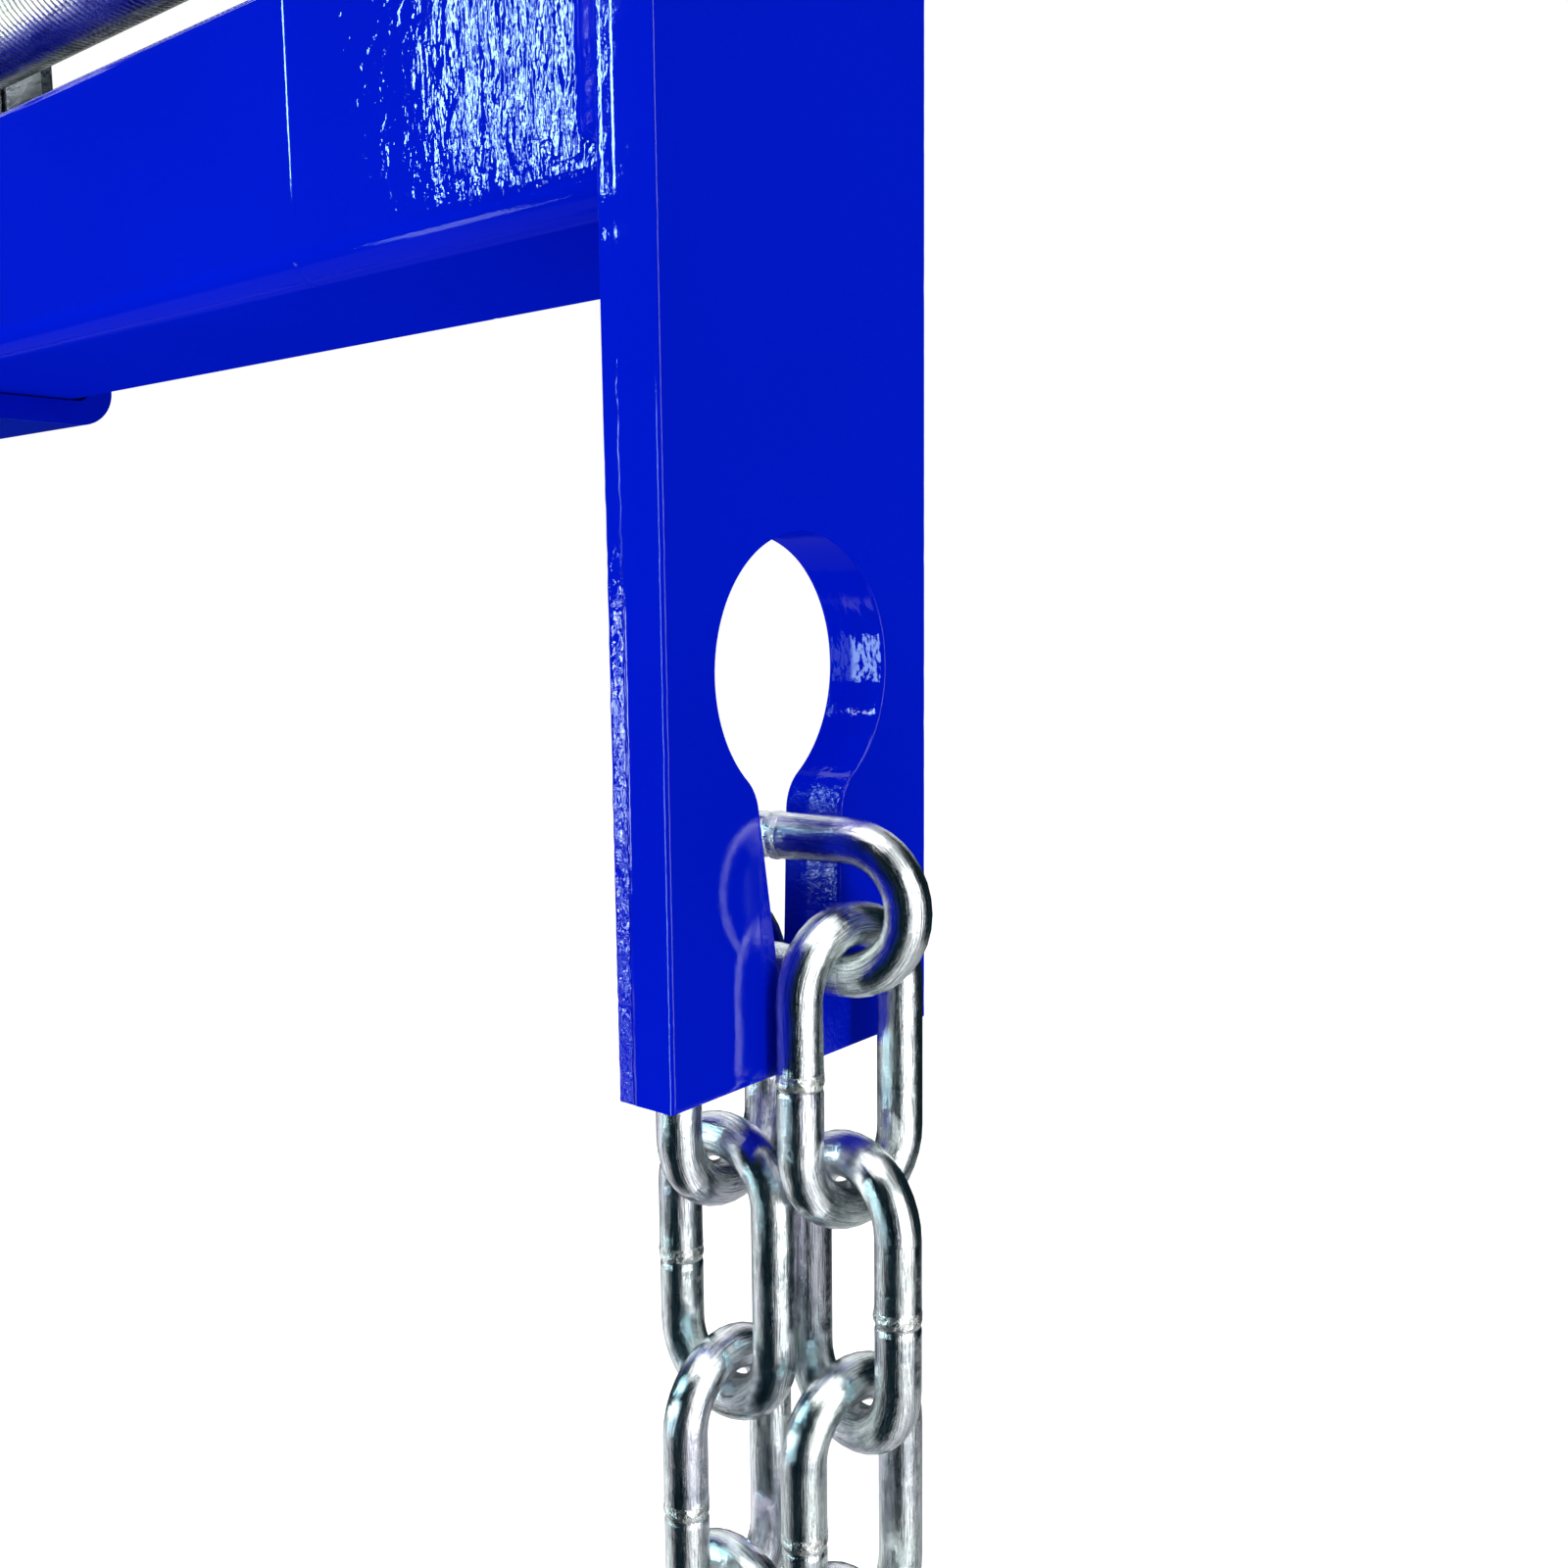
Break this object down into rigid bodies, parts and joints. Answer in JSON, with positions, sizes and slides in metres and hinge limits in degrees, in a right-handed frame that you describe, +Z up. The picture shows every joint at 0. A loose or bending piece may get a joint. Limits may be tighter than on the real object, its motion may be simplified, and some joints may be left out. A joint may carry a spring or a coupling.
{
  "type": "hoist leveler bar",
  "caption": "Blue beam with keyhole end plates and hanging chains, moved under its lifting eye by a cranked lead screw to level a hoisted load",
  "frame": {"origin": "centre of the lifting eye's hook hole", "axes": "+Z up, +X along the beam to its plain end, away from the crank"},
  "size_m": [0.7292, 0.0866, 0.665],
  "materials": {
    "frame_paint": "gloss",
    "screw_zinc": "bright zinc",
    "chain_zinc": "bright zinc",
    "bracket_zinc": "bright zinc",
    "fitting_zinc": "bright zinc",
    "bush_bronze": "machined",
    "grip_plastic": "matte"
  },
  "bodies": {
    "hoist_eye": {"lift_eye": "fitting_zinc"},
    "saddle": {"saddle": "frame_paint", "nut_carrier": "fitting_zinc", "screw_nut": "fitting_zinc", "near_trunnion_bolt": "fitting_zinc", "far_trunnion_bolt": "fitting_zinc", "lift_bolt": "fitting_zinc", "lift_nut": "fitting_zinc", "near_eye_spacer": "fitting_zinc", "far_eye_spacer": "fitting_zinc"},
    "beam": {"beam_tube": "frame_paint", "plain_end_plate": "frame_paint", "crank_end_plate": "frame_paint", "plain_end_bush": "bush_bronze", "crank_end_bush": "bush_bronze"},
    "screw": {"lead_screw": "screw_zinc", "plain_end_collar": "fitting_zinc", "crank_end_collar": "fitting_zinc", "crank_arm": "fitting_zinc", "crank_nut": "fitting_zinc", "grip_spindle": "fitting_zinc"},
    "grip": {"grip_sleeve": "grip_plastic"},
    "plain_end_seat_link": {"plain_end_seat_link": "chain_zinc"},
    "crank_end_seat_link": {"crank_end_seat_link": "chain_zinc"},
    "plain_end_outside_link_1": {"plain_end_outside_link_1": "chain_zinc"},
    "plain_end_outside_link_2": {"plain_end_outside_link_2": "chain_zinc"},
    "plain_end_outside_link_3": {"plain_end_outside_link_3": "chain_zinc"},
    "plain_end_outside_link_4": {"plain_end_outside_link_4": "chain_zinc"},
    "plain_end_outside_link_5": {"plain_end_outside_link_5": "chain_zinc"},
    "plain_end_outside_link_6": {"plain_end_outside_link_6": "chain_zinc"},
    "plain_end_outside_link_7": {"plain_end_outside_link_7": "chain_zinc"},
    "plain_end_outside_link_8": {"plain_end_outside_link_8": "chain_zinc"},
    "plain_end_outside_bracket": {"plain_end_outside_bracket": "bracket_zinc"},
    "plain_end_inside_link_1": {"plain_end_inside_link_1": "chain_zinc"},
    "plain_end_inside_link_2": {"plain_end_inside_link_2": "chain_zinc"},
    "plain_end_inside_link_3": {"plain_end_inside_link_3": "chain_zinc"},
    "plain_end_inside_link_4": {"plain_end_inside_link_4": "chain_zinc"},
    "plain_end_inside_link_5": {"plain_end_inside_link_5": "chain_zinc"},
    "plain_end_inside_link_6": {"plain_end_inside_link_6": "chain_zinc"},
    "plain_end_inside_link_7": {"plain_end_inside_link_7": "chain_zinc"},
    "plain_end_inside_link_8": {"plain_end_inside_link_8": "chain_zinc"},
    "plain_end_inside_bracket": {"plain_end_inside_bracket": "bracket_zinc"},
    "crank_end_outside_link_1": {"crank_end_outside_link_1": "chain_zinc"},
    "crank_end_outside_link_2": {"crank_end_outside_link_2": "chain_zinc"},
    "crank_end_outside_link_3": {"crank_end_outside_link_3": "chain_zinc"},
    "crank_end_outside_link_4": {"crank_end_outside_link_4": "chain_zinc"},
    "crank_end_outside_link_5": {"crank_end_outside_link_5": "chain_zinc"},
    "crank_end_outside_link_6": {"crank_end_outside_link_6": "chain_zinc"},
    "crank_end_outside_link_7": {"crank_end_outside_link_7": "chain_zinc"},
    "crank_end_outside_link_8": {"crank_end_outside_link_8": "chain_zinc"},
    "crank_end_outside_bracket": {"crank_end_outside_bracket": "bracket_zinc"},
    "crank_end_inside_link_1": {"crank_end_inside_link_1": "chain_zinc"},
    "crank_end_inside_link_2": {"crank_end_inside_link_2": "chain_zinc"},
    "crank_end_inside_link_3": {"crank_end_inside_link_3": "chain_zinc"},
    "crank_end_inside_link_4": {"crank_end_inside_link_4": "chain_zinc"},
    "crank_end_inside_link_5": {"crank_end_inside_link_5": "chain_zinc"},
    "crank_end_inside_link_6": {"crank_end_inside_link_6": "chain_zinc"},
    "crank_end_inside_link_7": {"crank_end_inside_link_7": "chain_zinc"},
    "crank_end_inside_link_8": {"crank_end_inside_link_8": "chain_zinc"},
    "crank_end_inside_bracket": {"crank_end_inside_bracket": "bracket_zinc"}
  },
  "joints": [
    {"name": "saddle_tilt", "type": "hinge", "parent": "hoist_eye", "child": "saddle", "pos_m": [0, 0, -0.062], "axis": [0, 1, 0], "range_deg": [-35, 35]},
    {"name": "screw_turn", "type": "hinge", "parent": "beam", "child": "screw", "pos_m": [0.283, 0, -0.105], "axis": [1, 0, 0], "range_deg": [-39960, 34560]},
    {"name": "beam_slide", "type": "slide", "parent": "saddle", "child": "beam", "axis": [1, 0, 0], "range_m": [-0.22, 0.19]},
    {"name": "grip_spin", "type": "hinge", "parent": "screw", "child": "grip", "pos_m": [-0.317, 0, -0.21], "axis": [1, 0, 0], "continuous": true},
    {"name": "plain_end_seat_lift", "type": "slide", "parent": "beam", "child": "plain_end_seat_link", "axis": [0, 0, 1], "range_m": [0, 0.01]},
    {"name": "crank_end_seat_lift", "type": "slide", "parent": "beam", "child": "crank_end_seat_link", "axis": [0, 0, 1], "range_m": [0, 0.01]},
    {"name": "plain_end_outside_swing_1", "type": "hinge", "parent": "plain_end_seat_link", "child": "plain_end_outside_link_1", "pos_m": [0.3003, 0.0023, -0.2963], "axis": [0.9781, -0.2079, 0], "range_deg": [0, 15]},
    {"name": "plain_end_outside_swing_2", "type": "hinge", "parent": "plain_end_outside_link_1", "child": "plain_end_outside_link_2", "pos_m": [0.3003, 0.0023, -0.3318], "axis": [0.2079, 0.9781, 0], "range_deg": [-30, 0]},
    {"name": "plain_end_outside_swing_3", "type": "hinge", "parent": "plain_end_outside_link_2", "child": "plain_end_outside_link_3", "pos_m": [0.3003, 0.0023, -0.3673], "axis": [0.9781, -0.2079, 0], "range_deg": [0, 30]},
    {"name": "plain_end_outside_swing_4", "type": "hinge", "parent": "plain_end_outside_link_3", "child": "plain_end_outside_link_4", "pos_m": [0.3003, 0.0023, -0.4028], "axis": [0.2079, 0.9781, 0], "range_deg": [-30, 0]},
    {"name": "plain_end_outside_swing_5", "type": "hinge", "parent": "plain_end_outside_link_4", "child": "plain_end_outside_link_5", "pos_m": [0.3003, 0.0023, -0.4383], "axis": [0.9781, -0.2079, 0], "range_deg": [0, 30]},
    {"name": "plain_end_outside_swing_6", "type": "hinge", "parent": "plain_end_outside_link_5", "child": "plain_end_outside_link_6", "pos_m": [0.3003, 0.0023, -0.4738], "axis": [0.2079, 0.9781, 0], "range_deg": [-30, 0]},
    {"name": "plain_end_outside_swing_7", "type": "hinge", "parent": "plain_end_outside_link_6", "child": "plain_end_outside_link_7", "pos_m": [0.3003, 0.0023, -0.5093], "axis": [0.9781, -0.2079, 0], "range_deg": [0, 30]},
    {"name": "plain_end_outside_swing_8", "type": "hinge", "parent": "plain_end_outside_link_7", "child": "plain_end_outside_link_8", "pos_m": [0.3003, 0.0023, -0.5448], "axis": [0.2079, 0.9781, 0], "range_deg": [-30, 0]},
    {"name": "plain_end_outside_bracket_swing", "type": "hinge", "parent": "plain_end_outside_link_8", "child": "plain_end_outside_bracket", "pos_m": [0.3003, 0.0023, -0.5803], "axis": [0.9781, -0.2079, 0], "range_deg": [-60, 60]},
    {"name": "plain_end_inside_swing_1", "type": "hinge", "parent": "plain_end_seat_link", "child": "plain_end_inside_link_1", "pos_m": [0.2791, -0.0024, -0.2963], "axis": [0.9994, -0.0349, 0], "range_deg": [-15, 0]},
    {"name": "plain_end_inside_swing_2", "type": "hinge", "parent": "plain_end_inside_link_1", "child": "plain_end_inside_link_2", "pos_m": [0.2791, -0.0024, -0.3318], "axis": [0.0349, 0.9994, 0], "range_deg": [0, 30]},
    {"name": "plain_end_inside_swing_3", "type": "hinge", "parent": "plain_end_inside_link_2", "child": "plain_end_inside_link_3", "pos_m": [0.2791, -0.0024, -0.3673], "axis": [0.9994, -0.0349, 0], "range_deg": [-30, 0]},
    {"name": "plain_end_inside_swing_4", "type": "hinge", "parent": "plain_end_inside_link_3", "child": "plain_end_inside_link_4", "pos_m": [0.2791, -0.0024, -0.4028], "axis": [0.0349, 0.9994, 0], "range_deg": [0, 30]},
    {"name": "plain_end_inside_swing_5", "type": "hinge", "parent": "plain_end_inside_link_4", "child": "plain_end_inside_link_5", "pos_m": [0.2791, -0.0024, -0.4383], "axis": [0.9994, -0.0349, 0], "range_deg": [-30, 0]},
    {"name": "plain_end_inside_swing_6", "type": "hinge", "parent": "plain_end_inside_link_5", "child": "plain_end_inside_link_6", "pos_m": [0.2791, -0.0024, -0.4738], "axis": [0.0349, 0.9994, 0], "range_deg": [0, 30]},
    {"name": "plain_end_inside_swing_7", "type": "hinge", "parent": "plain_end_inside_link_6", "child": "plain_end_inside_link_7", "pos_m": [0.2791, -0.0024, -0.5093], "axis": [0.9994, -0.0349, 0], "range_deg": [-30, 0]},
    {"name": "plain_end_inside_swing_8", "type": "hinge", "parent": "plain_end_inside_link_7", "child": "plain_end_inside_link_8", "pos_m": [0.2791, -0.0024, -0.5448], "axis": [0.0349, 0.9994, 0], "range_deg": [0, 30]},
    {"name": "plain_end_inside_bracket_swing", "type": "hinge", "parent": "plain_end_inside_link_8", "child": "plain_end_inside_bracket", "pos_m": [0.2791, -0.0024, -0.5803], "axis": [0.9994, -0.0349, 0], "range_deg": [-60, 60]},
    {"name": "crank_end_outside_swing_1", "type": "hinge", "parent": "crank_end_seat_link", "child": "crank_end_outside_link_1", "pos_m": [-0.2743, -0.0023, -0.2963], "axis": [-0.9781, 0.2079, 0], "range_deg": [0, 15]},
    {"name": "crank_end_outside_swing_2", "type": "hinge", "parent": "crank_end_outside_link_1", "child": "crank_end_outside_link_2", "pos_m": [-0.2743, -0.0023, -0.3318], "axis": [-0.2079, -0.9781, 0], "range_deg": [-30, 0]},
    {"name": "crank_end_outside_swing_3", "type": "hinge", "parent": "crank_end_outside_link_2", "child": "crank_end_outside_link_3", "pos_m": [-0.2743, -0.0023, -0.3673], "axis": [-0.9781, 0.2079, 0], "range_deg": [0, 30]},
    {"name": "crank_end_outside_swing_4", "type": "hinge", "parent": "crank_end_outside_link_3", "child": "crank_end_outside_link_4", "pos_m": [-0.2743, -0.0023, -0.4028], "axis": [-0.2079, -0.9781, 0], "range_deg": [-30, 0]},
    {"name": "crank_end_outside_swing_5", "type": "hinge", "parent": "crank_end_outside_link_4", "child": "crank_end_outside_link_5", "pos_m": [-0.2743, -0.0023, -0.4383], "axis": [-0.9781, 0.2079, 0], "range_deg": [0, 30]},
    {"name": "crank_end_outside_swing_6", "type": "hinge", "parent": "crank_end_outside_link_5", "child": "crank_end_outside_link_6", "pos_m": [-0.2743, -0.0023, -0.4738], "axis": [-0.2079, -0.9781, 0], "range_deg": [-30, 0]},
    {"name": "crank_end_outside_swing_7", "type": "hinge", "parent": "crank_end_outside_link_6", "child": "crank_end_outside_link_7", "pos_m": [-0.2743, -0.0023, -0.5093], "axis": [-0.9781, 0.2079, 0], "range_deg": [0, 30]},
    {"name": "crank_end_outside_swing_8", "type": "hinge", "parent": "crank_end_outside_link_7", "child": "crank_end_outside_link_8", "pos_m": [-0.2743, -0.0023, -0.5448], "axis": [-0.2079, -0.9781, 0], "range_deg": [-30, 0]},
    {"name": "crank_end_outside_bracket_swing", "type": "hinge", "parent": "crank_end_outside_link_8", "child": "crank_end_outside_bracket", "pos_m": [-0.2743, -0.0023, -0.5803], "axis": [-0.9781, 0.2079, 0], "range_deg": [-60, 60]},
    {"name": "crank_end_inside_swing_1", "type": "hinge", "parent": "crank_end_seat_link", "child": "crank_end_inside_link_1", "pos_m": [-0.2531, 0.0024, -0.2963], "axis": [-0.9994, 0.0349, 0], "range_deg": [-15, 0]},
    {"name": "crank_end_inside_swing_2", "type": "hinge", "parent": "crank_end_inside_link_1", "child": "crank_end_inside_link_2", "pos_m": [-0.2531, 0.0024, -0.3318], "axis": [-0.0349, -0.9994, 0], "range_deg": [0, 30]},
    {"name": "crank_end_inside_swing_3", "type": "hinge", "parent": "crank_end_inside_link_2", "child": "crank_end_inside_link_3", "pos_m": [-0.2531, 0.0024, -0.3673], "axis": [-0.9994, 0.0349, 0], "range_deg": [-30, 0]},
    {"name": "crank_end_inside_swing_4", "type": "hinge", "parent": "crank_end_inside_link_3", "child": "crank_end_inside_link_4", "pos_m": [-0.2531, 0.0024, -0.4028], "axis": [-0.0349, -0.9994, 0], "range_deg": [0, 30]},
    {"name": "crank_end_inside_swing_5", "type": "hinge", "parent": "crank_end_inside_link_4", "child": "crank_end_inside_link_5", "pos_m": [-0.2531, 0.0024, -0.4383], "axis": [-0.9994, 0.0349, 0], "range_deg": [-30, 0]},
    {"name": "crank_end_inside_swing_6", "type": "hinge", "parent": "crank_end_inside_link_5", "child": "crank_end_inside_link_6", "pos_m": [-0.2531, 0.0024, -0.4738], "axis": [-0.0349, -0.9994, 0], "range_deg": [0, 30]},
    {"name": "crank_end_inside_swing_7", "type": "hinge", "parent": "crank_end_inside_link_6", "child": "crank_end_inside_link_7", "pos_m": [-0.2531, 0.0024, -0.5093], "axis": [-0.9994, 0.0349, 0], "range_deg": [-30, 0]},
    {"name": "crank_end_inside_swing_8", "type": "hinge", "parent": "crank_end_inside_link_7", "child": "crank_end_inside_link_8", "pos_m": [-0.2531, 0.0024, -0.5448], "axis": [-0.0349, -0.9994, 0], "range_deg": [0, 30]},
    {"name": "crank_end_inside_bracket_swing", "type": "hinge", "parent": "crank_end_inside_link_8", "child": "crank_end_inside_bracket", "pos_m": [-0.2531, 0.0024, -0.5803], "axis": [-0.9994, 0.0349, 0], "range_deg": [-60, 60]}
  ],
  "couplings": [
    {"joint": "screw_turn", "follows": "beam_slide", "rad_per_m": 3141.6}
  ]
}
